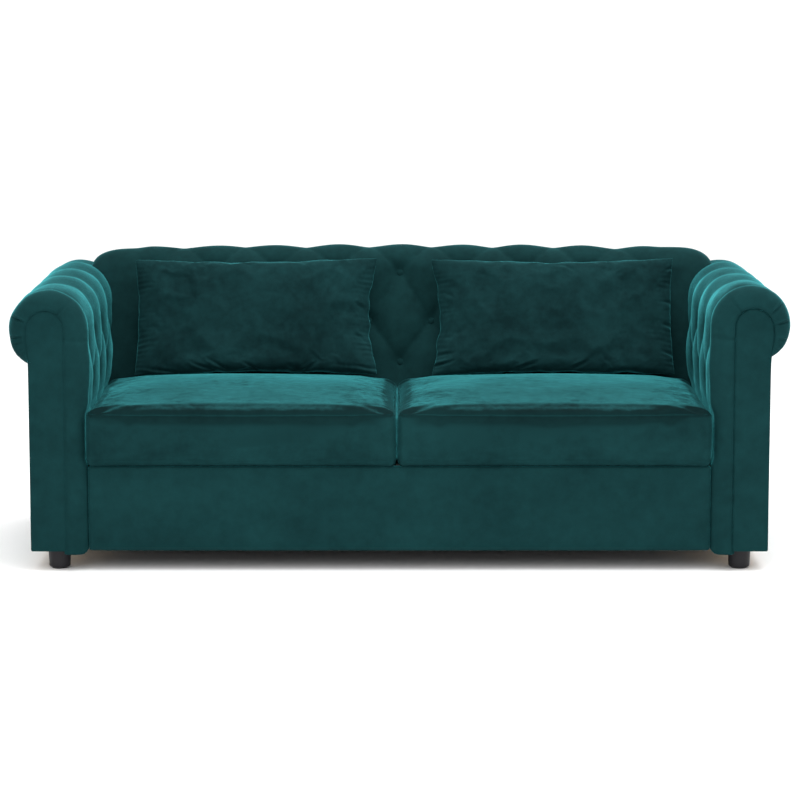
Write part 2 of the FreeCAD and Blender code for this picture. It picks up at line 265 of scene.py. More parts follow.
def velvet(name, deep, light, sheen, sheen_tint, nap_and_light, crush=1.0, painted_end_shade=0.0, painted_slant_shade=()):
    """Short-pile velvet: a dark face, patches where the pile lies another way, and a bright rim of sheen.

    nap_and_light pairs a surface's slant, from 0 facing down to 1 facing up, with the sheen's share there.
    That share comes partly from the pile's nap and partly from painted light and painted shade.
    painted_slant_shade pairs the slant with painted shade in the face's colour in the same way.
    painted_end_shade is how far painted shade lowers the slant towards both ends of each seat cushion, which
    darkens the sheen and colour there.
    """
    m = Nodes(name)
    patches = m.noise(7.0, 4.0, stretch=(0.8, 1.0, 1.0), roughness=0.60)
    strokes = m.noise(46.0, 4.0, stretch=(0.8, 1.0, 0.8), roughness=0.65)
    fibre = m.noise(1500.0, 2.0)
    pile = m.math("MULTIPLY", m.math("SUBTRACT", patches, 0.5), 1.1 * crush)
    pile = m.math("ADD", pile, m.math("MULTIPLY", m.math("SUBTRACT", strokes, 0.5), 0.8 * crush))
    pile = m.math("ADD", pile, m.math("MULTIPLY", m.math("SUBTRACT", fibre, 0.5), 0.30))
    face = m.ramp(m.math("ADD", pile, 0.5), [(0.12, deep), (0.88, light)])
    m.rough(m.math("ADD", m.math("MULTIPLY", patches, 0.10), 0.80))
    tufts = m.bump(fibre, 0.35, 0.0005)
    m.normal(m.bump(strokes, 0.12, 0.002, tufts))
    # painted light and shade by slant: the sheen's share follows which way a surface faces. Part of it comes
    # from the pile's nap, which is brushed downwards, and part is painted highlight and painted shade set by
    # the ramps
    facing = m.add("ShaderNodeSeparateXYZ")
    m.link(m.tree.nodes["Texture Coordinate"].outputs["Normal"], facing.inputs["Vector"])
    brushed = m.math("ADD", m.math("MULTIPLY", m.math("SUBTRACT", patches, 0.5), 0.9 * crush),
                     m.math("MULTIPLY", m.math("SUBTRACT", strokes, 0.5), 0.9 * crush))
    up = m.math("ADD", m.math("MULTIPLY", facing.outputs["Z"], 0.5), m.math("MULTIPLY", brushed, 0.14))
    # painted shade: the slant is lowered towards both ends of each seat cushion, which darkens its sheen and
    # colour there
    if painted_end_shade:
        split = m.add("ShaderNodeSeparateXYZ")
        m.link(m.place, split.inputs["Vector"])
        side = m.math("ABSOLUTE", split.outputs["X"], 0.0)
        from_middle = m.math("ABSOLUTE", m.math("SUBTRACT", side, CUSHION_MIDDLE), 0.0)
        flat = m.add("ShaderNodeMapRange", interpolation_type="SMOOTHSTEP", From_Min=0.24, From_Max=0.43,
                     To_Max=painted_end_shade)
        m.link(from_middle, flat.inputs["Value"])
        up = m.math("SUBTRACT", up, flat.outputs["Result"])
    # painted shade in the face's colour, set by slant. On the seat it darkens the band that slants up and
    # forward between the top and the front
    if painted_slant_shade:
        shade = m.ramp(m.math("ADD", up, 0.5), [(slant, (share,) * 3) for slant, share in painted_slant_shade])
        face = m.mix(1.0, face, shade, "MULTIPLY")
    m.colour(face)
    # a ramp holds values up to 1, so the shares are scaled down by the largest that may come, and up again
    shown = m.ramp(m.math("ADD", up, 0.5), [(slant, (share / NAP_AND_LIGHT_MOST,) * 3) for slant, share in nap_and_light])
    # worn joins the pile's random patches with the painted light and shade by slant
    worn = m.math("MULTIPLY", shown, m.math("ADD", m.math("MULTIPLY", brushed, 0.9), 1.0))
    m.link(m.math("MULTIPLY", worn, NAP_AND_LIGHT_MOST * sheen), m.shader.inputs["Sheen Weight"])
    s = m.shader.inputs
    s["Specular IOR Level"].default_value = 0.03
    s["Sheen Roughness"].default_value = 0.30
    s["Sheen Tint"].default_value = (*sheen_tint, 1.0)
    return m.material


def knit_ticking(name):
    """Pale knitted mattress cover with a small diagonal rib."""
    m = Nodes(name)
    wave = m.add("ShaderNodeTexWave", Scale=160.0, Distortion=1.5, bands_direction="DIAGONAL")
    m.link(m.place, wave.inputs["Vector"])
    rib = wave.outputs["Fac"]
    cloud = m.ramp(m.noise(14.0, 3.0), [(0.3, (0.33, 0.33, 0.32)), (0.7, (0.41, 0.41, 0.39))])
    m.colour(m.mix(m.math("MULTIPLY", rib, 0.5), cloud, (0.24, 0.25, 0.25)))
    m.rough(0.92)
    m.normal(m.bump(rib, 0.30, 0.0008))
    m.shader.inputs["Sheen Weight"].default_value = 0.15
    return m.material


def spun_cloth(name, colour):
    """Thin spunbonded cloth with a dimpled grid."""
    m = Nodes(name)
    dots = m.add("ShaderNodeTexVoronoi", Scale=420.0)
    m.link(m.place, dots.inputs["Vector"])
    shade = tuple(c * 1.8 for c in colour)
    m.colour(m.ramp(dots.outputs["Distance"], [(0.2, colour), (0.7, shade)]))
    m.rough(0.95)
    m.normal(m.bump(dots.outputs["Distance"], 0.3, 0.0006))
    return m.material


def moulded_plastic(name, colour):
    """Matt plastic or rubber with a fine grain and duller scuffs."""
    m = Nodes(name)
    grain = m.noise(900.0, 2.0)
    scuff = m.noise(40.0, 5.0, stretch=(1.0, 1.0, 0.2))
    m.colour(m.ramp(scuff, [(0.35, colour), (0.85, tuple(min(1.0, c * 1.7) for c in colour))]))
    m.rough(m.math("ADD", m.math("MULTIPLY", scuff, 0.25), 0.36))
    m.normal(m.bump(grain, 0.15, 0.0003))
    m.shader.inputs["Specular IOR Level"].default_value = 0.25
    return m.material


def timber(name, dark, light, scale):
    """Sawn or planed wood with rings stretched along X."""
    m = Nodes(name)
    rings = m.add("ShaderNodeTexWave", Scale=scale, Distortion=5.0, Detail=3.0, Detail_Scale=1.2,
                  wave_type="RINGS", rings_direction="X")
    mapping = m.add("ShaderNodeMapping", Scale=(0.12, 1.0, 1.0))
    m.link(m.place, mapping.inputs["Vector"])
    m.link(mapping.outputs["Vector"], rings.inputs["Vector"])
    streaks = m.noise(220.0, 3.0, stretch=(0.04, 0.6, 1.0))
    grain = m.math("ADD", m.math("MULTIPLY", rings.outputs["Fac"], 0.7), m.math("MULTIPLY", streaks, 0.4))
    m.colour(m.ramp(grain, [(0.2, light), (0.95, dark)]))
    m.rough(m.math("ADD", m.math("MULTIPLY", streaks, 0.2), 0.48))
    m.normal(m.bump(grain, 0.15, 0.0006))
    return m.material


def steel(name, colour, metallic, roughness, scratch=0.12):
    """Plated or painted steel, brushed along X and a little worn."""
    m = Nodes(name)
    brushed = m.noise(300.0, 3.0, stretch=(0.05, 1.0, 1.0))
    worn = m.noise(22.0, 5.0)
    m.colour(m.ramp(worn, [(0.3, colour), (0.8, tuple(min(1.0, c * 1.25) for c in colour))]))
    m.rough(m.math("ADD", m.math("MULTIPLY", brushed, scratch * 2), roughness))
    m.normal(m.bump(brushed, scratch, 0.0004))
    m.shader.inputs["Metallic"].default_value = metallic
    return m.material


def woven_strap(name, colour):
    """Jute webbing with a plain weave."""
    m = Nodes(name)
    weave = m.add("ShaderNodeTexWave", Scale=260.0, Distortion=0.4)
    m.link(m.place, weave.inputs["Vector"])
    m.colour(m.mix(weave.outputs["Fac"], colour, tuple(c * 0.55 for c in colour)))
    m.rough(0.9)
    m.normal(m.bump(weave.outputs["Fac"], 0.4, 0.0008))
    return m.material


CUSHION_MIDDLE = 0.442                         # x of the middle of the right seat cushion
NAP_AND_LIGHT_MOST = 1.4                                 # the largest share of sheen that a ramp of nap and painted light may name
DEEP, LIGHT = (0.0034, 0.0205, 0.0220), (0.0062, 0.0355, 0.0375)               # faces of the velvet
PILLOW_DEEP, PILLOW_LIGHT = (0.0026, 0.0140, 0.0152), (0.0056, 0.0285, 0.0305)
BACK_DEEP, BACK_LIGHT = (0.0029, 0.0160, 0.0170), (0.0055, 0.0290, 0.0305)
TINT = (0.120, 0.80, 0.86)                     # colour of the sheen
# sheen's share by slant, from 0 facing down to 1 facing up, partly the pile's nap and partly painted light
# and shade. Upward faces get a painted highlight and downward faces get painted shade. The shade is darkest
# under the seat cushions' front edge and on the seat's band between top and front. The pillows' undersides
# get painted light
NAP_AND_LIGHT = ((0.20, 0.30), (0.51, 0.65), (0.68, 1.10), (0.84, 1.20), (0.98, 1.10))
NAP_AND_LIGHT_SEAT = ((0.28, 0.05), (0.44, 0.55), (0.52, 0.62), (0.62, 0.30), (0.88, 0.25), (0.975, 1.32))
# painted shade in the seat's colour: 1 keeps the colour, and less darkens the band between the top and the
# front
PAINTED_SLANT_SHADE_SEAT = ((0.50, 1.0), (0.62, 0.60), (0.90, 0.42), (0.98, 1.0))
NAP_AND_LIGHT_PILLOW = ((0.20, 1.10), (0.50, 0.66), (0.84, 1.15), (0.98, 1.30))
NAP_AND_LIGHT_BACK = ((0.20, 0.50), (0.50, 0.65), (0.84, 1.10), (0.98, 1.30))
velvet_main = velvet("velvet", DEEP, LIGHT, 0.62, TINT, NAP_AND_LIGHT)
# the seat's velvet carries painted shade towards both ends of each cushion and on its front band
velvet_seat = velvet("velvet_cushion", DEEP, LIGHT, 0.74, TINT, NAP_AND_LIGHT_SEAT, 1.3, 0.06, PAINTED_SLANT_SHADE_SEAT)
velvet_pillow = velvet("velvet_pillow", PILLOW_DEEP, PILLOW_LIGHT, 0.56, TINT, NAP_AND_LIGHT_PILLOW, 1.5)
velvet_back = velvet("velvet_back", BACK_DEEP, BACK_LIGHT, 0.22, TINT, NAP_AND_LIGHT_BACK, 1.2)
velvet_board = velvet("velvet_board", DEEP, LIGHT, 0.58, TINT, NAP_AND_LIGHT, 0.8)
mattress_knit = knit_ticking("mattress_ticking")
SLOT_MATERIALS = {
    "velvet": velvet_main,
    "velvet_back": velvet_back,
    "velvet_cushion": velvet_seat,
    "velvet_pillow": velvet_pillow,
    "velvet_board": velvet_board,
    "mattress_ticking": mattress_knit,
    "dust_cloth": spun_cloth("dust_cloth", (0.010, 0.010, 0.011)),
    "webbing": woven_strap("webbing", (0.25, 0.21, 0.16)),
    "black_plastic": moulded_plastic("black_plastic", (0.0080, 0.0077, 0.0095)),
    "felt": spun_cloth("felt", (0.03, 0.03, 0.03)),
    "rubber": moulded_plastic("rubber", (0.012, 0.012, 0.012)),
    "beech_slat": timber("beech_slat", (0.42, 0.26, 0.13), (0.62, 0.44, 0.26), 30.0),
    "pine": timber("pine", (0.40, 0.25, 0.11), (0.62, 0.46, 0.26), 45.0),
    "zinc_steel": steel("zinc_steel", (0.52, 0.52, 0.54), 1.0, 0.28),
    "grey_steel": steel("grey_steel", (0.060, 0.064, 0.070), 0.0, 0.40, 0.05),
}
slot_of = {part["node"]: part["material_slot"] for part in frame["record"]["subparts"]}
for node_name, node_object in frame["nodes"].items():
    for material_slot in node_object.material_slots:
        material_slot.material = SLOT_MATERIALS[slot_of[node_name]]


# --- tufting ------------------------------------------------------------------------------------
def tufts(u, s, rows, first_offset=0.0):
    """Height, 0 in a pleat to 1 on a puff, at u pitches along the rows and s metres across them.

    rows holds each row's s, lowest first, and every second row is moved by half a pitch. Pleats join each
    button to the two beside it in the next row, and run straight from the lowest and highest rows.
    """
    offset = np.full_like(s, first_offset)
    slide = np.zeros_like(s)
    for n in range(len(rows)):
        here = s >= rows[n]
        offset[here] = first_offset + 0.5 * (n % 2)
        if n + 1 < len(rows):
            slide[here] = ((s - rows[n]) / (rows[n + 1] - rows[n]))[here]
        else:
            slide[here] = 0.0
    a = np.abs(np.sin(math.pi * (u - offset - 0.5 * slide)))
    b = np.abs(np.sin(math.pi * (u - offset + 0.5 * slide)))
    return (a * b) ** 0.62


def button_places(rows, low, high, first_offset=0.0):
    """(u, s) of each button with u between low and high."""
    places = []
    for n, s in enumerate(rows):
        offset = first_offset + 0.5 * (n % 2)
        places += [(k + offset, s) for k in range(math.ceil(low - offset), math.floor(high - offset) + 1)]
    return places


def button_wells(u, s, places):
    """Depth, 0 to 1, of the hollow that each button pulls into the padding."""
    radius = 0.017
    well = np.zeros_like(u)
    for bu, bs in places:
        well = np.maximum(well, np.exp(-(((u - bu) * TUFT) ** 2 + (s - bs) ** 2) / (2 * radius ** 2)))
    return well


def button_mesh(centres, normals, name):
    """Domed covered buttons, joined into one piece."""
    radius, height, rings, around = 0.0105, 0.0055, 6, 20
    verts, faces = [], []
    for centre, normal in zip(centres, normals):
        turn = Vector(normal).to_track_quat("Z", "Y").to_matrix()
        start = len(verts)
        for r in range(rings):
            angle = (math.pi * 0.62) * (r + 1) / rings
            for a in range(around):
                turn_by = 2 * math.pi * a / around
                out = radius * math.sin(angle) * (1.0 + 0.015 * math.cos(6 * turn_by))
                spot = Vector((out * math.cos(turn_by), out * math.sin(turn_by), height * math.cos(angle)))
                verts.append(turn @ spot + Vector(centre))
        faces += grid_faces(rings, around, start, close_cols=True)
        verts.append(turn @ Vector((0, 0, height)) + Vector(centre))
        top = len(verts) - 1
        faces += [[top, start + a, start + (a + 1) % around] for a in range(around)]
        faces.append([start + (rings - 1) * around + a for a in range(around)])
    return outward(mesh_object(name, verts, faces))


# --- arms ---------------------------------------------------------------------------------------
ARM_STEP = 0.0062                              # distance between a section's points


def arm_profile():
    """Points (x, z) of the right arm's section, from under its inner face over the roll to its outer side."""
    corner = 0.012
    low = ARM_LOW[2] + 0.001
    points = [(ARM_IN + 0.055, low), (ARM_IN + 0.034, low)]
    for n in range(5):
        a = math.radians(270 - 22.5 * n)
        points.append((ARM_IN + corner + corner * math.cos(a), low + corner + corner * math.sin(a)))
    z0 = points[-1][1]
    count = int((ROLL_Z - z0) / ARM_STEP)
    points += [(ARM_IN, z0 + (ROLL_Z - z0) * n / count) for n in range(1, count)]
    # closer together on the roll's outer half, which is gathered
    angles = np.concatenate([np.linspace(math.pi, 1.0, 36, endpoint=False), np.linspace(1.0, ROLL_END, 80)])
    for a in angles:
        points.append((ROLL_X + ROLL_R * math.cos(a), ROLL_Z + ROLL_R * math.sin(a)))
    end = points[-1]
    points += [(end[0] - 0.006, end[1] + 0.001), (end[0] - 0.016, end[1] + 0.006)]
    return np.array(points)


def facing_swell(x, z):
    """How far the arched facing's edge stands outward of a plain arch, on its outer side under the roll."""
    middle = (FACING_LOW[0] + FACING_HIGH[0]) / 2
    share = min(1.0, max(0.0, (x - middle) / (FACING_HIGH[0] - middle)))
    return 0.007 * share * math.exp(-((z - 0.665) / 0.050) ** 2)


def facing_outline(points, rise):
    """For each point of the arm's section, the point of the arched facing's edge that the border runs to."""
    x0, x1 = FACING_LOW[0], FACING_HIGH[0]
    r = (x1 - x0) / 2
    spring = FACING_HIGH[2] + rise - r
    centre_x = (x0 + x1) / 2
    found = []
    for x, z in points:
        angle = math.atan2(z - ROLL_Z, x - ROLL_X)
        if x <= ARM_IN + 0.06 and z < ROLL_Z:
            found.append((x0, min(z, spring)))
        elif angle > 0:
            found.append((centre_x + r * math.cos(angle), spring + r * math.sin(angle)))
        else:
            share = angle / ROLL_END
            found.append((x1, spring - share * (spring - points[-3][1])))
    return np.array([(x + facing_swell(x, z), z) for x, z in found])


def make_arm(name, seed, drop, hanging, flat_under, rise, groove, gathers):
    """The padded cover of one arm, built on the right, and the places and directions of its buttons.

    drop is how much lower the roll lies in front, hanging how far its outer side bulges, flat_under how much
    its underside is flattened (0 to 1), rise how much higher the facing's arch stands, and groove how deep
    the seam round it lies. Each gather in the border is an angle round the roll, a width in radians and a
    depth.
    """
    section = arm_profile()
    seam = facing_outline(section, rise)
    steps = np.linalg.norm(np.diff(section, axis=0), axis=1)
    s = np.concatenate([[0.0], np.cumsum(steps)])
    inner = (np.abs(section[:, 0] - ARM_IN) < 1e-6) & (section[:, 1] < ROLL_Z)
    rows_s = np.interp(ARM_ROWS, section[inner, 1], s[inner])
    front, rear = ARM_LOW[1] + ARM_BORDER, ARM_HIGH[1] - ARM_TURN
    columns = int((rear - front) / ARM_STEP)
    y = np.linspace(rear, front, columns)
    rows = len(section)
    base = np.empty((columns, rows, 3))
    base[:, :, 0], base[:, :, 2] = section[:, 0], section[:, 1]
    base[:, :, 1] = y[:, None]
    normal = np.zeros_like(base)
    tangent = np.gradient(section, axis=0)
    normal[:, :, 0], normal[:, :, 2] = -tangent[:, 1], tangent[:, 0]
    normal /= np.maximum(np.linalg.norm(normal, axis=2, keepdims=True), 1e-9)
    yy, ss = np.broadcast_arrays(y[:, None], s[None, :])
    wander = 0.020 * ripple(ss, yy, 0.07, seed)
    top = s[int(np.argmax(section[:, 1]))]
    slant = ARM_SLANT * smoothstep(ss, rows_s[1], top) * smoothstep(-yy, 0.165, 0.350)
    u = (yy + slant - ARM_FIRST_PLEAT) / TUFT + wander
    puffs = tufts(u, ss, rows_s, 0.5)
    places = button_places(rows_s, -0.2, 2.7, 0.5)
    well = button_wells(u, ss, places)
    height = section[:, 1]
    section_angle = np.arctan2(height - ROLL_Z, section[:, 0] - ROLL_X)
    on_roll = (height > ROLL_Z) | (section[:, 0] > ROLL_X)
    seam[:, 1] += (ROLL_Z - seam[:, 1]) * flat_under * np.clip(section_angle / ROLL_END, 0, 1) * on_roll
    under = smoothstep(np.where(on_roll, section_angle, 1.0), ROLL_END + 0.05, ROLL_END + 0.9)
    low_fade = np.minimum(smoothstep(height, 0.40, 0.50) + (on_roll & (height < 0.60)) * 1.0, 1.0)
    depth = np.where(on_roll, 0.0105, 0.0115) * low_fade * under
    lead = smoothstep(y, front + 0.004, front + 0.034)[:, None]
    lift = depth[None, :] * (puffs - 1.0) * lead + 0.003 * low_fade[None, :] - 0.009 * well * lead
    lift += 0.0012 * ripple(ss * 1.3, yy, 0.045, seed + 3.0) * low_fade[None, :]
    # the padding swells over the seat cushion, is pressed in beside it, and hangs full under the roll
    on_inner = (section[:, 0] < ARM_IN + 0.02) & ~on_roll
    swell = 0.0070 * bell(height - 0.570, 0.085) + 0.0025 * smoothstep(-height, -0.30, -0.20)
    swell -= 0.007 * smoothstep(-height, -0.475, -0.435) * smoothstep(height, 0.290, 0.320)
    hang = hanging * smoothstep(-section_angle, 0.15, 0.85) * (on_roll & (section_angle < 0))
    lift += (swell * on_inner)[None, :] * (1 - smoothstep(y, 0.330, 0.420))[:, None] + hang[None, :]
    # behind the front panel the cover ends on the base board, and it comes out again behind the board
    tucked = smoothstep(y, PANEL_HIGH[1] - 0.002, PANEL_HIGH[1] + 0.012) * (1 - smoothstep(y, 0.424, 0.440))
    lift -= 0.010 * tucked[:, None] * (on_inner & (height < 0.290))[None, :]
    skin = base + normal * lift[:, :, None]
    forward = np.clip((0.30 - yy) / 0.72, 0.0, 1.0)
    skin[:, :, 2] += (0.004 - drop * forward) * smoothstep(base[:, :, 2], 0.50, 0.70)
    under_roll = (on_roll & (section_angle < 0))[None, :] * smoothstep(-yy, 0.30, 0.42)
    skin[:, :, 2] += (ROLL_Z - skin[:, :, 2]) * flat_under * under_roll
    # the padded border on the front, from the sweep's edge to the facing's seam, is deeper round the roll
    rounder = smoothstep(height, 0.60, 0.74)
    skin[:, :, 1] += 0.016 * rounder[None, :] * smoothstep(-yy, 0.340, 0.424)
    shares = np.concatenate([np.linspace(0, 0.95, 13)[1:], [0.972, 0.988, 1.0]])
    border = []
    edge = skin[-1]
    for t in shares:
        a = t * math.pi / 2
        across = max(math.cos(a), 0.0) ** (0.86 + 0.22 * rounder)
        out = math.sin(a) ** (0.88 + 0.16 * rounder)
        ring = np.empty((rows, 3))
        ring[:, 0] = seam[:, 0] + (edge[:, 0] - seam[:, 0]) * across
        ring[:, 2] = seam[:, 1] + (edge[:, 2] - seam[:, 1]) * across
        ring[:, 1] = edge[:, 1] + (ARM_LOW[1] - edge[:, 1]) * out
        ring[:, 1] += groove * smoothstep(np.array([t]), 0.95, 1.0)[0]
        ring[:, 2] -= 0.009 * smoothstep(-ring[:, 2], -0.100, -0.062) * min(1.0, 3 * t)
        border.append(ring)
    under_facing = border[-1].copy()
    under_facing[:, 0] += np.where(seam[:, 0] < (FACING_LOW[0] + FACING_HIGH[0]) / 2, 0.006, -0.006)
    under_facing[:, 1] += 0.002
    border = np.array(border)
    t = shares[:, None]
    for angle, width, deep in gathers:
        fold = bell(section_angle - angle, width) * on_roll
        fold -= 0.6 * bell(section_angle - angle - 1.9 * width, width) * on_roll
        border[:, :, 1] += deep * fold[None, :] * np.sin(math.pi * np.clip(t * 1.15 - 0.05, 0, 1)) ** 0.7
    stitch = bell(height - ARM_ROWS[1] - 0.003, 0.0040) * ~on_roll
    pleat = bell(section_angle - 2.25, 0.035) * on_roll
    border[:, :, 1] += (0.0045 * stitch + 0.0040 * pleat)[None, :] * smoothstep(t, 0.05, 0.35)
    wrinkle = ripple(section[None, :, 0] * 0.6 + t * 0.03, height[None, :], 0.03, seed + 7.0)
    border[:, :, 1] += 0.0010 * wrinkle * np.sin(math.pi * t)
    # the rear turns into a flat back, which runs on below the roll to the outer panel
    soft = smoothstep(height, 0.070, 0.120)
    back_rows = []
    for n in range(4, -1, -1):
        a = math.radians(90 * n / 4)
        ring = skin[0].copy()
        ring[:, 1] += ARM_TURN * math.sin(a)
        pull = ARM_TURN * (1 - math.cos(a)) * soft
        ring[:, 0] -= normal[0, :, 0] * pull
        ring[:, 2] -= normal[0, :, 2] * pull
        back_rows.append(ring)
    points = np.concatenate([np.array(back_rows[:-1]), skin, border, [under_facing]])
    faces = grid_faces(len(points), rows)
    points = list(points.reshape(-1, 3))
    cap = list(range(rows)) + [len(points), len(points) + 1]
    points += [(ARM_OUT - 0.011, ARM_HIGH[1], z) for z in (height[-1] - 0.010, height[0])]
    obj = mesh_object(name, points, faces + [cap])
    spots, facings = [], []
    for bu, bs in places:
        column = int(np.argmin(np.abs(y - (ARM_FIRST_PLEAT + bu * TUFT))))
        row = int(np.argmin(np.abs(s - bs)))
        spots.append(skin[column, row] + normal[column, row] * 0.001)
        facings.append(normal[column, row])
    return outward(obj), spots, facings


def arched_panel(name, front, back, rise):
    """The arched facing on an arm's front, with softly rounded edges. rise is how much higher it stands."""
    edge = 0.0035
    x0, x1 = FACING_LOW[0] + 0.001, FACING_HIGH[0]
    z0, r = FACING_LOW[2], (FACING_HIGH[0] - FACING_LOW[0] - 0.001) / 2
    spring = FACING_HIGH[2] + rise - (FACING_HIGH[0] - FACING_LOW[0]) / 2
    outline = []
    straight = 60
    for n in range(straight):
        outline.append((x0, z0 + 0.004 + (spring - z0 - 0.004) * n / straight, -1.0, 0.0))
    for n in range(33):
        a = math.pi - math.pi * n / 32
        outline.append(((x0 + x1) / 2 + r * math.cos(a), spring + r * math.sin(a), math.cos(a), math.sin(a)))
    for n in range(1, straight + 1):
        outline.append((x1, spring - (spring - z0 - 0.004) * n / straight, 1.0, 0.0))
    outline = [(x + facing_swell(x, z), z, nx, nz) for x, z, nx, nz in outline]
    outline.append((x1 - 0.003, z0, 0.7, -0.7))
    outline.append((x0 + 0.003, z0, -0.7, -0.7))
    outline = np.array(outline)
    rings = []
    for n in range(6):
        a = math.radians(90 * n / 5)
        inset, depth = edge * (1 - math.cos(a)), edge * (1 - math.sin(a))
        rings.append([(p[0] - p[2] * inset, front + depth, p[1] - p[3] * inset) for p in outline])
    rings = [[(p[0], back, p[1]) for p in outline]] + rings
    for share in (0.25, 0.55, 0.85):
        inner = []
        for p in outline:
            mid_z = min(max(p[1], z0 + 0.05), spring)
            rim_x, rim_z = p[0] - p[2] * edge, p[1] - p[3] * edge
            x = rim_x + ((x0 + x1) / 2 - rim_x) * share
            z = rim_z + (mid_z - rim_z) * share
            inner.append((x, front - 0.0012 * math.sin(share * math.pi / 2), z))
        rings.append(inner)
    points = np.array(rings)
    count = len(outline)
    faces = grid_faces(len(rings), count, close_cols=True)
    # strips across close the front inside the innermost ring
    start = (len(rings) - 1) * count
    last = [start + n for n in range(count)]
    for a in range((count - 2) // 2):
        b = count - 3 - a
        if b - 1 > a + 1:
            faces.append([last[a], last[a + 1], last[b - 1], last[b]])
        elif b > a + 1:
            faces.append([last[a], last[a + 1], last[b]])
    faces.append([last[0], last[count - 3], last[count - 2], last[count - 1]])
    faces.append(list(range(count))[::-1])
    return outward(mesh_object(name, points.reshape(-1, 3), faces))


def crowded(low, high, count, crowd=0.6):
    """Gives count + 1 places from low to high, closer together towards both ends."""
    t = np.linspace(0, 1, count + 1)
    return low + (high - low) * (t - crowd * np.sin(2 * math.pi * t) / (2 * math.pi))


def rounded_box(name, places, radius, under=None):
    """A closed box with a row of points at each of the given places along X, Y and Z, and round edges.

    under is the height of the rounding round its underside, if that differs.
    """
    counts = [len(p) - 1 for p in places]
    found, points, faces = {}, [], []

    def point(index):
        if index not in found:
            found[index] = len(points)
            points.append([places[a][index[a]] for a in range(3)])
        return found[index]

    for axis in range(3):
        u, v = [a for a in range(3) if a != axis]
        for side in (0, counts[axis]):
            for i in range(counts[u]):
                for j in range(counts[v]):
                    quad = []
                    for di, dj in ((0, 0), (1, 0), (1, 1), (0, 1)):
                        index = [0, 0, 0]
                        index[axis], index[u], index[v] = side, i + di, j + dj
                        quad.append(point(tuple(index)))
                    outward_side = (side > 0) != (axis == 1)
                    faces.append(quad if outward_side else quad[::-1])
    points = np.array(points)
    low = np.array([p[0] for p in places])
    high = np.array([p[-1] for p in places])
    soft = np.array([radius, radius, under or radius])
    core = np.clip(points, low + soft, high - radius)
    away = points - core
    reach = np.linalg.norm(away / np.where(away < 0, soft, radius), axis=1, keepdims=True)
    return mesh_object(name, core + away / np.maximum(reach, 1.0), faces)


def soft_board(name, low, high, edge, swell, faces_axis, seed, step=0.02):
    """A closed panel with rounded edges, whose broad faces swell a little like fabric pulled over a board."""
    low, high = np.array(low), np.array(high)
    size = high - low
    counts = [max(4, min(90, int(round(d / step)))) for d in size]
    obj = rounded_box(name, [crowded(low[a], high[a], counts[a]) for a in range(3)], edge)
    points = coords(obj)
    inside = np.ones(len(points))
    others = [a for a in range(3) if a != faces_axis]
    for axis in others:
        t = np.clip((points[:, axis] - low[axis]) / size[axis], 0, 1)
        inside *= np.sin(math.pi * t) ** 0.5
    side = np.sign(points[:, faces_axis] - (low[faces_axis] + high[faces_axis]) / 2)
    wave = 0.25 * ripple(points[:, others[0]], points[:, others[1]], 0.11, seed)
    points[:, faces_axis] += side * swell * inside * (1 + wave)
    set_coords(obj, points)
    return subdivided(obj)


def make_arms():
    gathers_right = ((0.62, 0.036, 0.006), (0.10, 0.034, 0.007), (-0.42, 0.040, 0.005),
                     (-0.75, 0.036, 0.004))
    gathers_left = ((0.36, 0.036, 0.008), (-0.24, 0.030, 0.008), (-0.42, 0.030, 0.005),
                    (-0.80, 0.040, 0.006))
    rise_right, rise_left = 0.004, -0.002
    shape_right = (-0.001, 0.005, 0.16, rise_right, 0.008, gathers_right)
    shape_left = (0.013, 0.0085, 0.05, rise_left, 0.004, gathers_left)
    right, spots, facings = make_arm("arm_upholstery_right", 2.0, *shape_right)
    left, left_spots, left_facings = make_arm("arm_upholstery_left", 2.9, *shape_left)
    reflect(left)
    finish_piece(right, "sofa", velvet_main, ["arm_pad_right"])
    finish_piece(left, "sofa", velvet_main, ["arm_pad_left"])
    front, rear = FACING_LOW[1] + 0.0015, FACING_HIGH[1] + 0.004
    facing = arched_panel("arm_facing_panel_right", front, rear, rise_right)
    facing_left = reflect(arched_panel("arm_facing_panel_left", front, rear, rise_left))
    finish_piece(facing, "sofa", velvet_main, ["arm_facing_right"])
    finish_piece(facing_left, "sofa", velvet_main, ["arm_facing_left"])
    # the outer cover's upper edge is out of sight inside the roll
    low = (ARM_OUT - 0.012, OUTER_LOW[1], OUTER_LOW[2])
    high = (ARM_OUT, OUTER_HIGH[1], OUTER_HIGH[2] + 0.014)
    panel = soft_board("arm_outer_cover_right", low, high, 0.004, 0.002, 0, 3.0)
    panel_left = mirrored(panel, "arm_outer_cover_left")
    finish_piece(panel, "sofa", velvet_board, ["arm_outer_panels"])
    finish_piece(panel_left, "sofa", velvet_board)
    spots += [(-p[0], p[1], p[2]) for p in left_spots]
    facings += [(-f[0], f[1], f[2]) for f in left_facings]
    buttons = button_mesh(spots, facings, "arm_covered_buttons")
    finish_piece(buttons, "sofa", velvet_main, ["arm_buttons"])


# --- back ---------------------------------------------------------------------------------------
BACK_STEP = 0.0062                             # distance between a section's points


def back_profile():
    """Points (y, z) of the back's section, from its lower front edge over the roll, and its front's slope."""
    start = np.array([BACK_LOW[1], BACK_LOW[2]])
    dy, dz = BACK_ROLL_Y - start[0], BACK_ROLL_Z - start[1]
    d = math.hypot(dy, dz)
    slope = math.atan2(dz, dy) + math.asin(BACK_ROLL_R / d)
    run = math.sqrt(d * d - BACK_ROLL_R ** 2)
    count = int(run / BACK_STEP)
    points = [start + run * n / count * np.array([math.cos(slope), math.sin(slope)]) for n in range(count)]
    first, last = slope + math.pi / 2, math.radians(-30)
    count = int((first - last) * BACK_ROLL_R / BACK_STEP)
    centre = np.array([BACK_ROLL_Y, BACK_ROLL_Z])
    for n in range(count + 1):
        a = first + (last - first) * n / count
        points.append(centre + BACK_ROLL_R * np.array([math.cos(a), math.sin(a)]))
    points += [np.array([0.430, 0.725]), np.array([0.410, 0.726])]
    return np.array(points), slope


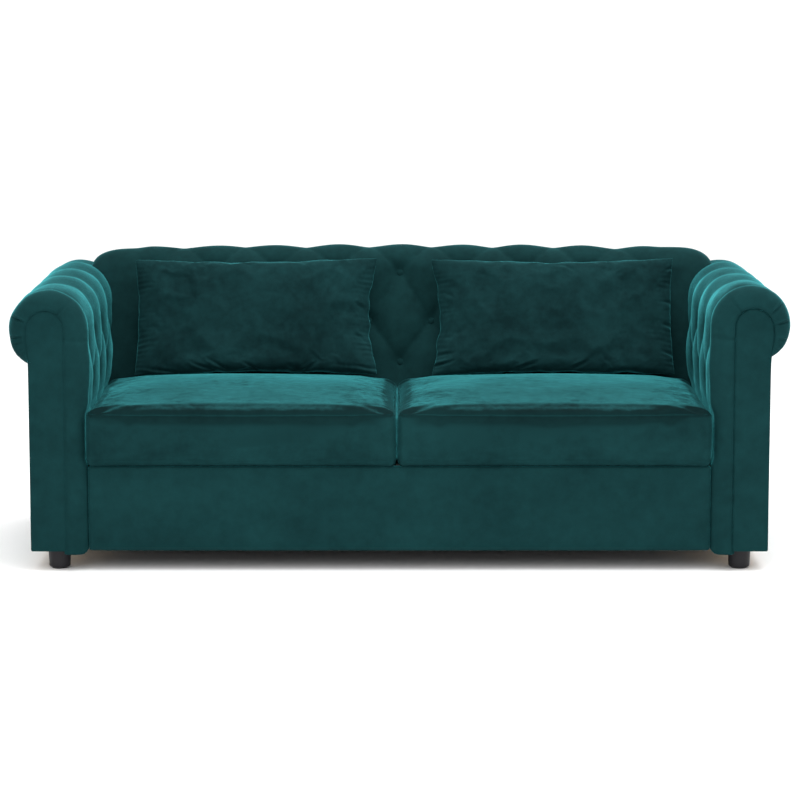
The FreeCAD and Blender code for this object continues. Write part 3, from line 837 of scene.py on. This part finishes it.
def make_back():
    section, slope = back_profile()
    s = np.concatenate([[0.0], np.cumsum(np.linalg.norm(np.diff(section, axis=0), axis=1))])
    rows_s = [(z - BACK_LOW[2]) / math.sin(slope) for z in BACK_ROWS_Z]
    rows_s.append(rows_s[-1] + 0.118)
    # the right shoulder reaches further out than the left one, and is plumper
    half, longer, shoulder = BACK_HIGH[0] - 0.002, 0.016, 0.130
    columns = int(2 * half / BACK_STEP)
    x = np.linspace(-half, half + longer, columns)
    reach = np.where(x > 0, half + longer, half)
    plump = np.where(x > 0, 0.9, 0.4)
    xx, ss = np.broadcast_arrays(x[None, :], s[:, None])
    u = xx / TUFT + 0.016 * ripple(xx, ss, 0.09, 4.0)
    puffs = tufts(u, ss, rows_s)
    places = button_places(rows_s[:3], -5.2, 5.2)
    well = button_wells(u, ss, places)
    tangent = np.gradient(section, axis=0)
    normal = np.stack([-tangent[:, 1], tangent[:, 0]], axis=1)
    normal /= np.linalg.norm(normal, axis=1, keepdims=True)
    crown = 0.018 - 0.009 * smoothstep(s, rows_s[2], rows_s[3])
    crown *= 1 - 0.75 * smoothstep(s, s[-1] - 0.10, s[-1] - 0.02)
    crown *= smoothstep(s, 0.0, 0.03) * 0.6 + 0.4
    inside = 1 - smoothstep(np.abs(x), 0.750, 0.820)
    lift = crown[:, None] * (puffs * inside + plump * (1 - inside) - 1.0) + 0.004 - 0.010 * well * inside
    lift += 0.0012 * ripple(xx, ss * 1.2, 0.05, 7.0)
    # the ends close in a soft quarter round, and the shoulders drop in an arc
    end = np.clip((np.abs(x) - (reach - 0.022)) / 0.022, 0, 1)
    lift -= 0.022 * (1 - np.sqrt(1 - end ** 2 * 0.998))[None, :]
    points = np.empty((len(section), columns, 3))
    points[:, :, 0] = xx
    points[:, :, 1] = section[:, 0][:, None] + normal[:, 0][:, None] * lift
    points[:, :, 2] = section[:, 1][:, None] + normal[:, 1][:, None] * lift
    over = np.clip((np.abs(x) - (reach - shoulder)) / shoulder, 0, 1)
    arc = np.sqrt(1 - over ** 3.0 * 0.995)
    base = BACK_HIGH[2] - 0.075
    z = points[:, :, 2] - 0.006 * (xx / 0.76) ** 2 * smoothstep(points[:, :, 2], 0.60, 0.80)
    points[:, :, 2] = np.where(z > base, base + (z - base) * arc[None, :], z)
    # below the arms' rolls the back is only as wide as the gap between the arms
    gap = ARM_IN + 0.012
    narrow = 1 - smoothstep(points[:, :, 2], 0.68, 0.750)
    inner = gap - 0.05
    ax = np.abs(points[:, :, 0])
    drawn = inner + (ax - inner) * (gap - inner) / (reach - inner)
    points[:, :, 0] = np.sign(points[:, :, 0]) * np.where(ax > inner, ax + (drawn - ax) * narrow, ax)
    # underneath, the pad is flat and as deep as the frame allows
    keel = points[0].copy()
    keel[:, 1] = BACK_KEEL_Y
    points = np.concatenate([points, keel[None]])
    rows = len(points)
    faces = grid_faces(rows, columns)
    ends = [[r * columns for r in range(rows)][::-1], [r * columns + columns - 1 for r in range(rows)]]
    bottom = [[(rows - 1) * columns + c + 1, (rows - 1) * columns + c, c, c + 1] for c in range(columns - 1)]
    obj = outward(mesh_object("back_upholstery", points.reshape(-1, 3), faces + ends + bottom))
    finish_piece(obj, "sofa", velvet_back, ["back_pad"])
    spots, facings = [], []
    for bu, bs in places:
        if abs(bu * TUFT) > BACK_BUTTONS_OUT:
            continue
        column = int(np.argmin(np.abs(x - bu * TUFT)))
        row = int(np.argmin(np.abs(s - bs)))
        direction = (0.0, normal[row, 0], normal[row, 1])
        spots.append(points[row, column] + np.array(direction) * 0.001)
        facings.append(direction)
    buttons = button_mesh(spots, facings, "back_covered_buttons")
    finish_piece(buttons, "sofa", velvet_back, ["back_buttons"])
    # the outer cover is tucked in between the arms and under the roll
    low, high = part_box("back_outer_panel")
    low, high = (-ARM_IN - 0.002, low[1], low[2]), (ARM_IN + 0.002, high[1], high[2] + 0.009)
    cover = soft_board("back_outer_cover", low, high, 0.003, 0.0025, 1, 6.0)
    finish_piece(cover, "sofa", velvet_board, ["back_outer_panel"])


def make_front_panel():
    low = (PANEL_LOW[0] - 0.002, PANEL_LOW[1], PANEL_LOW[2])
    high = (PANEL_HIGH[0] + 0.002, PANEL_HIGH[1], PANEL_HIGH[2] + 0.0015)
    panel = soft_board("front_panel_upholstery", low, high, 0.007, 0.003, 1, 8.0, 0.015)
    finish_piece(panel, "sofa", velvet_main, ["front_panel_cover"])


# --- loose cushions -----------------------------------------------------------------------------
def inflated(obj, pressure, cap, frames=20, stiffness=15.0, bending=0.5, shrink=0.0):
    """Blows the closed piece up as cloth, lets no point move further than cap, and applies the result."""
    before = coords(obj)
    cloth = obj.modifiers.new("cloth", "CLOTH")
    settings = cloth.settings
    settings.quality = 6
    settings.mass = 0.3
    settings.tension_stiffness = settings.compression_stiffness = stiffness
    settings.shear_stiffness = stiffness / 3
    settings.bending_stiffness = bending
    settings.use_pressure = True
    settings.uniform_pressure_force = pressure
    settings.shrink_min = shrink
    settings.effector_weights.gravity = 0.0
    cloth.collision_settings.use_collision = False
    cloth.point_cache.frame_start, cloth.point_cache.frame_end = 1, frames
    for number in range(1, frames + 1):
        bpy.context.scene.frame_set(number)
    apply_modifiers(obj)
    bpy.context.scene.frame_set(1)
    moved = coords(obj) - before
    length = np.linalg.norm(moved, axis=1, keepdims=True)
    set_coords(obj, before + moved * np.minimum(1.0, cap / np.maximum(length, 1e-9)))
    return obj


def around_box(points, low, high):
    """How far round the box's sides each point lies, in metres, measured by angle so that it wraps once."""
    middle = (np.array(low) + np.array(high)) / 2
    half = (np.array(high) - np.array(low)) / 2
    x, y = (points[:, 0] - middle[0]) / half[0], (points[:, 1] - middle[1]) / half[1]
    return np.arctan2(y, x) * (half[0] + half[1]) * 4 / (2 * math.pi)


def make_seat_cushion(side, seed, reach):
    """A boxed cushion between the two x values of reach, with seams round its top and its underside."""
    low, high = (np.array(c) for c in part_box(f"seat_cushion_{side}"))
    low[0], high[0] = reach
    low[1] -= 0.004
    high[2] -= 0.005
    seam_low, seam_high = low[2] + 0.013, high[2] - 0.0195
    xs, ys = crowded(low[0], high[0], 74, 0.55), crowded(low[1], high[1], 56, 0.55)
    near = 0.0032                              # from a seam to the next row of points
    zs = [low[2], low[2] + 0.005, seam_low, seam_low + near, seam_low + 0.015]
    zs += list(np.linspace(seam_low + 0.028, seam_high - 0.016, 8))
    zs += [seam_high - near, seam_high, seam_high + near, seam_high + 0.012, high[2] - 0.003, high[2]]
    obj = rounded_box(f"seat_cushion_{side}_cover", [xs, ys, np.array(zs)], 0.026, 0.002)
    start = coords(obj)
    t = (start - low) / (high - low)
    across, along = np.clip(t[:, 0], 0, 1), np.clip(t[:, 1], 0, 1)
    # the crown is highest nearer the front than the back
    crown = np.sin(math.pi * across) ** 0.55 * np.sin(math.pi * (0.01 + along * 0.84)) ** 1.45
    on_top = smoothstep(start[:, 2], high[2] - 0.024, high[2] - 0.003)
    shaped = start.copy()
    shaped[:, 2] += 0.033 * crown * on_top
    from_ends = np.minimum(start[:, 0] - low[0], high[0] - start[:, 0])
    shaped[:, 2] -= 0.007 * (1 - smoothstep(from_ends, 0.0, 0.13)) * on_top
    belly = np.sin(math.pi * np.clip(t[:, 2], 0, 1))
    front = smoothstep(-t[:, 1], -0.08, 0.0)
    shaped[:, 1] -= 0.004 * belly * front
    # the lower front edge and its two corners are rounder than the other edges
    at_front = 1 - smoothstep(shaped[:, 1], low[1] + 0.012, low[1] + 0.040)
    corner, edge = 0.001 + 0.021 * at_front, np.full(len(shaped), 0.024)
    for axis, far, soft in ((0, high[0], corner), (1, high[1] + 1.0, edge)):
        core = np.stack([np.clip(shaped[:, axis], low[axis] + soft, far - soft),
                         np.maximum(shaped[:, 2], low[2] + soft)], axis=1)
        away = shaped[:, [axis, 2]] - core
        shaped[:, [axis, 2]] = core + away / np.maximum(np.linalg.norm(away, axis=1) / soft, 1.0)[:, None]
    set_coords(obj, shaped)
    inflated(obj, 0.7, 0.005, 14, 18.0, 5.0)
    points = coords(obj)
    # it stays flat where it rests, and clear of the arm, the other cushion and the back
    points[:, 2] = np.maximum(points[:, 2], low[2] + 0.0005)
    points[:, 0] = np.clip(points[:, 0], low[0] - 0.0015, high[0] + 0.0015)
    points[:, 1] = np.minimum(points[:, 1], high[1] + 0.004)
    away = np.stack([start[:, 0] - np.clip(start[:, 0], low[0] + 0.03, high[0] - 0.03),
                     start[:, 1] - np.clip(start[:, 1], low[1] + 0.03, high[1] - 0.03)], axis=1)
    away /= np.maximum(np.linalg.norm(away, axis=1, keepdims=True), 1e-9)
    on_side = np.linalg.norm(away, axis=1) > 0.5
    path = around_box(start, low, high)
    for seam, deep in ((seam_high, 0.0034), (seam_low, 0.0030)):
        here = (np.abs(start[:, 2] - seam) < 0.0014) & on_side
        points[here, :2] -= away[here] * deep
        pucker = 0.0016 * ripple(path, path * 0, 0.018, seed + seam * 40)
        band = bell(start[:, 2] - seam, 0.012) * on_side
        points[:, :2] += away * (pucker * band)[:, None]
    # slow waves in the top, and an underside that sags a little over the front panel
    points[:, 2] += 0.0018 * ripple(points[:, 0], points[:, 1], 0.13, seed) * crown * on_top
    points[:, 1] -= 0.0018 * ripple(points[:, 0], points[:, 2] * 2, 0.10, seed + 3) * belly * front
    low_down = smoothstep(-t[:, 2], -0.30, 0.0)
    before_panel = smoothstep(-points[:, 1], -PANEL_LOW[1] + 0.002, -PANEL_LOW[1] + 0.012)
    sag = 0.0010 + 0.0022 * np.sin(2 * math.pi * (across * 1.4 + seed * 0.23))
    points[:, 2] -= sag * low_down * before_panel
    on_panel = smoothstep(points[:, 1], PANEL_LOW[1] + 0.002, PANEL_LOW[1] + 0.016)
    on_panel *= 1 - smoothstep(points[:, 1], PANEL_HIGH[1] + 0.01, PANEL_HIGH[1] + 0.04)
    points[:, 2] -= 0.0035 * low_down * on_panel
    set_coords(obj, points)
    subdivided(obj)
    body = f"seat_cushion_{side}"
    finish_piece(obj, body, velvet_seat, [body])


PILLOW_WIDE, PILLOW_TALL = 0.718, 0.353        # a pillow's size from seam to seam
PILLOW_HALF = 0.058                            # half of its thickness in the middle
PILLOW_CELLS = (150, 78)                       # faces of each panel along it and up it


def pillow_shell(name):
    """Two panels sewn together round their edge.

    Each point holds u along the pillow and v up it, both 0 to 1, and between them its panel: -1 in front, 1
    behind and 0 on the seam.
    """
    nx, nz = PILLOW_CELLS
    us, vs = crowded(0.0, 1.0, nx, 0.5), crowded(0.0, 1.0, nz, 0.4)
    points, faces, found = [], [], {}
    for layer in (-1, 1):
        for j in range(nz + 1):
            for i in range(nx + 1):
                rim = i in (0, nx) or j in (0, nz)
                if rim and (i, j) in found:
                    found[layer, i, j] = found[i, j]
                    continue
                found[layer, i, j] = len(points)
                if rim:
                    found[i, j] = len(points)
                points.append((us[i], 0.0 if rim else layer, vs[j]))
        for j in range(nz):
            for i in range(nx):
                corners = ((i, j), (i + 1, j), (i + 1, j + 1), (i, j + 1))
                quad = [found[layer, a, b] for a, b in corners]
                faces.append(quad if layer < 0 else quad[::-1])
    obj = mesh_object(name, points, faces)
    return obj, coords(obj)


def pleats(along, period, wander):
    """Waves along a seam, -1 to 1, whose spacing wanders."""
    return np.sin(along * 2 * math.pi / period + 2 * wander)


def make_pillow(side, sign, seed, place, folds):
    """A filled pillow, pinched in at the end towards the sofa's middle and gathered at its ends.

    place is the middle's x, y and z, the tilt in the pillow's own plane, and the height it rests on. Each
    fold is its shallow end's u and v, its deep end's u and v, and its depth.
    """
    obj, flat = pillow_shell(f"lumbar_pillow_{side}_cover")
    u, layer, v = flat.T
    x, z = (u - 0.5) * PILLOW_WIDE, (v - 0.5) * PILLOW_TALL
    from_end = np.minimum(u, 1 - u) * PILLOW_WIDE
    from_long = np.minimum(v, 1 - v) * PILLOW_TALL
    fill = np.sin(math.pi / 2 * np.minimum(from_end / 0.16, 1.0)) ** 0.66
    fill *= np.sin(math.pi / 2 * np.minimum(from_long / 0.13, 1.0)) ** (0.50 + 0.16 * v)
    thickness = PILLOW_HALF * fill * (1.04 - 0.12 * v)
    # short gathers square to the seams, strongest at the ends
    gather = 0.5 + 0.5 * ripple(z, z * 0, 0.030, seed)
    thickness *= 1 + 0.34 * gather * pleats(z, 0.0150, ripple(z, x, 0.05, seed)) * np.exp(-from_end / 0.020)
    gather = 0.5 + 0.5 * ripple(x, x * 0, 0.050, seed + 1)
    thickness *= 1 + 0.12 * gather * pleats(x, 0.019, ripple(x, z, 0.06, seed)) * np.exp(-from_long / 0.012)
    for u0, v0, u1, v1, deep in folds:
        x0, z0, x1, z1 = u0 * PILLOW_WIDE, v0 * PILLOW_TALL, u1 * PILLOW_WIDE, v1 * PILLOW_TALL
        length = math.hypot(x1 - x0, z1 - z0)
        dx, dz = (x1 - x0) / length, (z1 - z0) / length
        px, pz = u * PILLOW_WIDE - x0, v * PILLOW_TALL - z0
        along, beside = px * dx + pz * dz, px * dz - pz * dx
        beside = beside + 0.002 * ripple(px, pz, 0.03, seed + u0 * 9)
        grow = smoothstep(along, 0.0, length * 0.8) * (1 - smoothstep(along, length, length + 0.012))
        ridge, valley = bell(beside - 0.0085, 0.0060), bell(beside, 0.0045)
        thickness += deep * grow * (0.7 * ridge - valley)
    thickness += 0.0016 * ripple(x, z, 0.045, seed + 5) * fill
    pinch = np.where(x * sign < 0, 0.021, 0.005) * np.sin(math.pi * v) ** 1.2
    pinch = pinch * (1 + 0.25 * ripple(z, z * 0, 0.022, seed + 6))
    narrower = np.sign(x) * pinch * smoothstep(np.abs(x), 0.10, PILLOW_WIDE / 2)
    shorter = np.sign(z) * 0.004 * np.sin(math.pi * u) * smoothstep(np.abs(z), 0.08, 0.17)
    points = np.stack([x - narrower, layer * thickness, z - shorter], axis=1)
    points[:, 2] += 0.0014 * ripple(x, x * 0, 0.040, seed + 8) * np.exp(-from_long / 0.03)
    # the lower seam rides forward as the pillow sits down on its rear panel
    points[:, 1] -= 0.030 * smoothstep(-v, -0.40, 0.0) + 0.014 * smoothstep(v, 0.70, 1.0)
    set_coords(obj, points)
    inflated(obj, 0.7, 0.006, 14, 14.0, 0.15, shrink=-0.012)
    points = coords(obj)
    # the underside settles on the seat
    turn = Matrix.Rotation(-math.radians(16.0), 3, "X") @ Matrix.Rotation(place[3], 3, "Y")
    points = points @ np.array(turn).T + np.array(place[:3])
    below = np.maximum(place[4] + 0.010 - points[:, 2], 0.0)
    points[:, 2] += below * 0.7
    set_coords(obj, points)
    subdivided(obj)
    body = f"lumbar_pillow_{side}"
    finish_piece(obj, body, velvet_pillow, [body])


def make_pillows():
    folds_left = (
        (-0.01, 0.085, 0.17, 0.015, 0.006), (0.19, 0.14, 0.32, 0.02, 0.006), (0.27, 0.16, 0.37, 0.03, 0.007),
        (0.43, 0.12, 0.50, 0.03, 0.006), (0.62, 0.11, 0.66, 0.02, 0.004), (0.77, 0.10, 0.70, 0.02, 0.005),
        (0.99, 0.55, 0.94, 0.60, 0.006), (0.98, 0.30, 0.94, 0.33, 0.005), (0.80, 0.08, 0.99, 0.05, 0.005),
    )
    folds_right = (
        (0.12, 0.13, 0.00, 0.08, 0.007), (0.10, 0.19, 0.01, 0.17, 0.005), (0.02, 0.70, 0.06, 0.68, 0.004),
        (0.47, 0.13, 0.36, 0.03, 0.006), (0.66, 0.12, 0.59, 0.04, 0.006), (0.94, 0.20, 1.00, 0.17, 0.006),
        (0.94, 0.44, 1.00, 0.42, 0.007), (0.95, 0.62, 1.00, 0.62, 0.007), (0.96, 0.88, 1.00, 0.92, 0.006),
        (0.54, 0.97, 0.58, 0.90, 0.004),
    )
    for side, sign, seed, x, tilt, folds in (("left", -1, 11.0, -0.428, -0.35, folds_left),
                                             ("right", 1, 23.0, 0.457, 0.2, folds_right)):
        low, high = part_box(f"lumbar_pillow_{side}")
        place = (x, 0.190, (low[2] + high[2]) / 2 + 0.001, math.radians(tilt) * -sign, low[2] + 0.004)
        make_pillow(side, sign, seed, place, folds)


# --- bed ----------------------------------------------------------------------------------------
def make_mattress(name, body, up, seed):
    """One quilted mattress section. up tells which way its sleeping face looks when stored: 1 up, -1 down."""
    low, high = (np.array(c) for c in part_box(name))
    middle = (low + high) / 2
    quilt = 0.098                              # pitch of the quilting's diamonds
    xs = crowded(low[0], high[0], 160, 0.2)
    ys = crowded(low[1], high[1], max(40, int((high[1] - low[1]) / 0.0098)), 0.2)
    near_edge = np.array([0.0, 0.004, 0.012, 0.020])
    zs = np.concatenate([low[2] + near_edge, [middle[2]], high[2] - near_edge[::-1]])
    obj = rounded_box(f"{name}_cover", [xs, ys, zs], 0.010)
    points = coords(obj)
    a = (points[:, 0] + points[:, 1]) / quilt
    b = (points[:, 0] - points[:, 1]) / quilt
    puff = (np.abs(np.sin(math.pi * a)) * np.abs(np.sin(math.pi * b))) ** 0.5
    face = high[2] if up > 0 else low[2]
    near = smoothstep(-np.abs(points[:, 2] - face), -0.004, 0.0)
    from_sides = np.minimum(points - low, high - points)[:, :2]
    edge = from_sides.min(axis=1)
    inside = smoothstep(edge, 0.008, 0.035)
    points[:, 2] -= up * 0.0065 * (1 - puff) * near * inside
    points[:, 2] -= up * 0.0012 * (1 + ripple(points[:, 0], points[:, 1], 0.15, seed)) * near * inside
    # the side band bulges between the two seams
    band = bell(points[:, 2] - middle[2], 0.012) * (edge < 0.012)
    inward = np.sign(middle[:2] - points[:, :2]) * (from_sides < 0.011)
    points[:, :2] += inward * (0.0015 * (1 - band))[:, None]
    set_coords(obj, points)
    finish_piece(obj, body, mattress_knit, [name])


def make_dust_cover():
    """The black cloth stapled under the base, with shallow ripples."""
    low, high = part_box("dust_cover")
    nx, ny = 120, 60
    middle = (low[2] + high[2]) / 2
    xs, ys = np.linspace(low[0], high[0], nx + 1), np.linspace(low[1], high[1], ny + 1)
    points = [(x, y, middle + 0.0006 * float(ripple(x, y, 0.12, 3.0))) for y in ys for x in xs]
    obj = mesh_object("dust_cloth_sheet", points, grid_faces(ny + 1, nx + 1))
    finish_piece(obj, "sofa", SLOT_MATERIALS["dust_cloth"], ["dust_cover"])


# --- stage, light and camera --------------------------------------------------------------------
def make_stage():
    """A pale floor out to the horizon, an even bright sky and two softboxes."""
    corners = [(-700, -100, 0), (700, -100, 0), (700, 1300, 0), (-700, 1300, 0)]
    floor = mesh_object("floor", corners, [[0, 1, 2, 3]], smooth=False)
    m = Nodes("pale_floor")
    m.colour(m.ramp(m.noise(3.0), [(0.3, (0.93, 0.93, 0.93)), (0.7, (0.95, 0.95, 0.95))]))
    m.rough(0.9)
    floor.data.materials.append(m.material)
    world = bpy.data.worlds.new("studio")
    world.use_nodes = True
    background = world.node_tree.nodes["Background"]
    background.inputs["Strength"].default_value = 1.0
    # the sky grows brighter upwards
    place = world.node_tree.nodes.new("ShaderNodeTexCoord")
    split = world.node_tree.nodes.new("ShaderNodeSeparateXYZ")
    ramp = world.node_tree.nodes.new("ShaderNodeMapRange")
    ramp.inputs["To Min"].default_value = 0.78
    ramp.inputs["To Max"].default_value = 1.36
    world.node_tree.links.new(place.outputs["Generated"], split.inputs["Vector"])
    world.node_tree.links.new(split.outputs["Z"], ramp.inputs["Value"])
    world.node_tree.links.new(ramp.outputs["Result"], background.inputs["Color"])
    bpy.context.scene.world = world
    for name, size, place, aim, power in (
            ("top_softbox", 4.0, (0.6, -0.4, 3.6), (0.0, 0.0, 0.4), 150.0),
            ("front_softbox", 3.0, (-0.8, -5.3, 3.2), (0.0, 0.0, 0.4), 90.0)):
        light = bpy.data.lights.new(name, "AREA")
        light.shape = "SQUARE"
        light.size = size
        light.energy = power
        lamp = bpy.data.objects.new(name, light)
        lamp.location = place
        lamp.rotation_euler = (Vector(aim) - Vector(place)).to_track_quat("-Z", "Y").to_euler()
        bpy.context.scene.collection.objects.link(lamp)


def make_camera():
    """Level with a standing viewer's eye, about eight metres back, tilted down with a long lens."""
    data = bpy.data.cameras.new("camera")
    data.lens = 131.8
    data.sensor_width = 36.0
    camera = bpy.data.objects.new("camera", data)
    camera.location = (0.0015, ARM_LOW[1] - 8.06, 1.608)
    camera.rotation_euler = (math.radians(90 - 7.93), 0.0, 0.0)
    bpy.context.scene.collection.objects.link(camera)
    bpy.context.scene.camera = camera
    bpy.context.scene.view_settings.view_transform = "Standard"


make_arms()
make_back()
make_front_panel()
make_seat_cushion("left", 2.0, (-0.8765, -0.0085))
make_seat_cushion("right", 5.0, (-0.0065, 0.8735))
make_pillows()
make_mattress("head_mattress", "head_section", 1, 1.0)
make_mattress("middle_mattress", "middle_section", -1, 2.0)
make_mattress("foot_mattress", "foot_section", 1, 3.0)
make_dust_cover()
make_stage()
make_camera()
